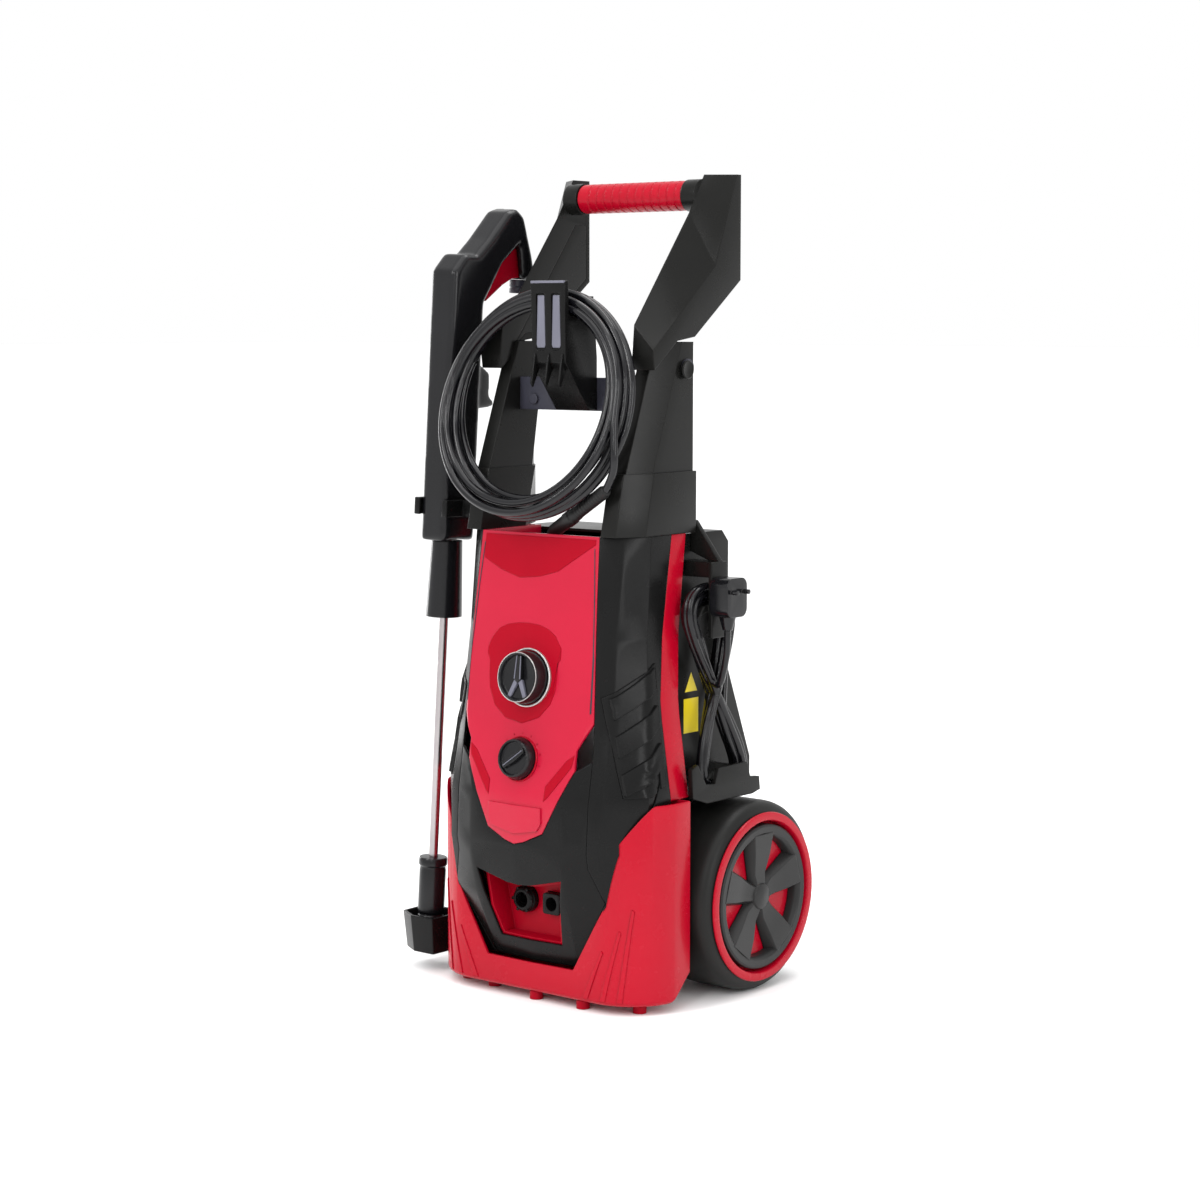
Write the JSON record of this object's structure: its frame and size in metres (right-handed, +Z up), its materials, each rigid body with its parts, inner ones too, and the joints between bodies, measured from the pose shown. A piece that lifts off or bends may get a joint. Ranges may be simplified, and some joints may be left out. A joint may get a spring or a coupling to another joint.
{
  "type": "electric pressure washer",
  "caption": "Upright two-wheel electric pressure washer with a spray gun and lance in a side cup, a coiled hose on the front hook and a mains cable on side hooks.",
  "frame": {"origin": "middle of the footprint on the floor, measured without the hose and cable", "axes": "+Z up, front faces -Y, +X to the machine's right side where the cable hangs"},
  "size_m": [0.382, 0.3183, 0.847],
  "materials": {
    "black_plastic": "satin",
    "rear_plastic": "satin",
    "red_plastic": "semi-gloss",
    "grey_plastic": "satin",
    "tyre_rubber": "matte",
    "soft_rubber": "matte",
    "hose_rubber": "satin",
    "cable_rubber": "satin",
    "bright_steel": "polished",
    "cast_aluminium": "cast",
    "plated_steel": "plated",
    "capacitor_shell": "satin"
  },
  "bodies": {
    "machine": {"axle": "bright_steel", "axle_washers_and_clips": "bright_steel", "cable_hank": "cable_rubber", "cable_hook_lower": "rear_plastic", "cable_hook_upper": "rear_plastic", "cable_run_housing": "cable_rubber", "cable_run_plug": "cable_rubber", "chassis_plate": "plated_steel", "collars": "black_plastic", "columns": "black_plastic", "cross_bar": "black_plastic", "feet": "soft_rubber", "front_panel": "red_plastic", "front_trim": "black_plastic", "gun_clip": "black_plastic", "handle_arms": "black_plastic", "handle_grip": "red_plastic", "handle_screws": "bright_steel", "handle_tube": "plated_steel", "hose_coil": "hose_rubber", "hose_fitting": "soft_rubber", "hose_hook": "black_plastic", "hose_tail": "hose_rubber", "inlet_filter": "bright_steel", "lance_cup": "black_plastic", "lower_housing": "red_plastic", "mains_plug": "cable_rubber", "motor_bearings": "bright_steel", "motor_housing": "cast_aluminium", "pistons": "bright_steel", "pressure_outlet": "black_plastic", "pump_body": "cast_aluminium", "pump_bolts": "bright_steel", "pump_head": "cast_aluminium", "rear_housing": "rear_plastic", "run_capacitor": "capacitor_shell", "side_covers": "black_plastic", "side_strips": "red_plastic", "socket_recess": "red_plastic", "strain_relief": "soft_rubber", "switch_box": "black_plastic", "water_inlet": "black_plastic"},
    "wheel_left": {"tyre_left": "tyre_rubber", "wheel_rim_left": "red_plastic", "wheel_cover_left": "grey_plastic"},
    "wheel_right": {"tyre_right": "tyre_rubber", "wheel_rim_right": "red_plastic", "wheel_cover_right": "grey_plastic"},
    "main_switch": {"main_switch_knob": "black_plastic"},
    "regulator": {"pressure_knob": "black_plastic"},
    "lance": {"gun_shells": "black_plastic", "gun_valve": "plated_steel", "gun_inlet": "grey_plastic", "bayonet_sleeve": "black_plastic", "lance_tube": "bright_steel"},
    "trigger_lever": {"trigger": "red_plastic"},
    "nozzle": {"spray_nozzle": "black_plastic"},
    "rotor": {"motor_rotor": "bright_steel", "cooling_fan": "grey_plastic", "swash_plate": "bright_steel"}
  },
  "joints": [
    {"name": "wheel_left_spin", "type": "hinge", "parent": "machine", "child": "wheel_left", "pos_m": [-0.106, 0.059, 0.1], "axis": [1, 0, 0], "continuous": true},
    {"name": "wheel_right_spin", "type": "hinge", "parent": "machine", "child": "wheel_right", "pos_m": [0.144, 0.059, 0.1], "axis": [1, 0, 0], "continuous": true},
    {"name": "main_switch_turn", "type": "hinge", "parent": "machine", "child": "main_switch", "pos_m": [0.019, -0.124, 0.336], "axis": [0, -0.9912, 0.1323], "range_deg": [0, 90]},
    {"name": "regulator_turn", "type": "hinge", "parent": "machine", "child": "regulator", "pos_m": [0.019, -0.1385, 0.254], "axis": [0, -0.9781, 0.2079], "range_deg": [0, 270]},
    {"name": "lance_lift", "type": "slide", "parent": "machine", "child": "lance", "axis": [0.0451, 0.0242, 0.9987], "range_m": [0, 0.08]},
    {"name": "trigger_squeeze", "type": "hinge", "parent": "lance", "child": "trigger_lever", "pos_m": [-0.13013, -0.01655, 0.7381], "axis": [0.999, -0.0011, -0.0451], "range_deg": [0, 8], "stiffness_Nm_per_rad": 1.2},
    {"name": "nozzle_turn", "type": "hinge", "parent": "lance", "child": "nozzle", "pos_m": [-0.16035, -0.07672, 0.07004], "axis": [0.0451, 0.0242, 0.9987], "range_deg": [0, 90]},
    {"name": "rotor_spin", "type": "hinge", "parent": "machine", "child": "rotor", "pos_m": [0.019, -0.009, 0.28], "axis": [0, 0, 1], "continuous": true}
  ]
}
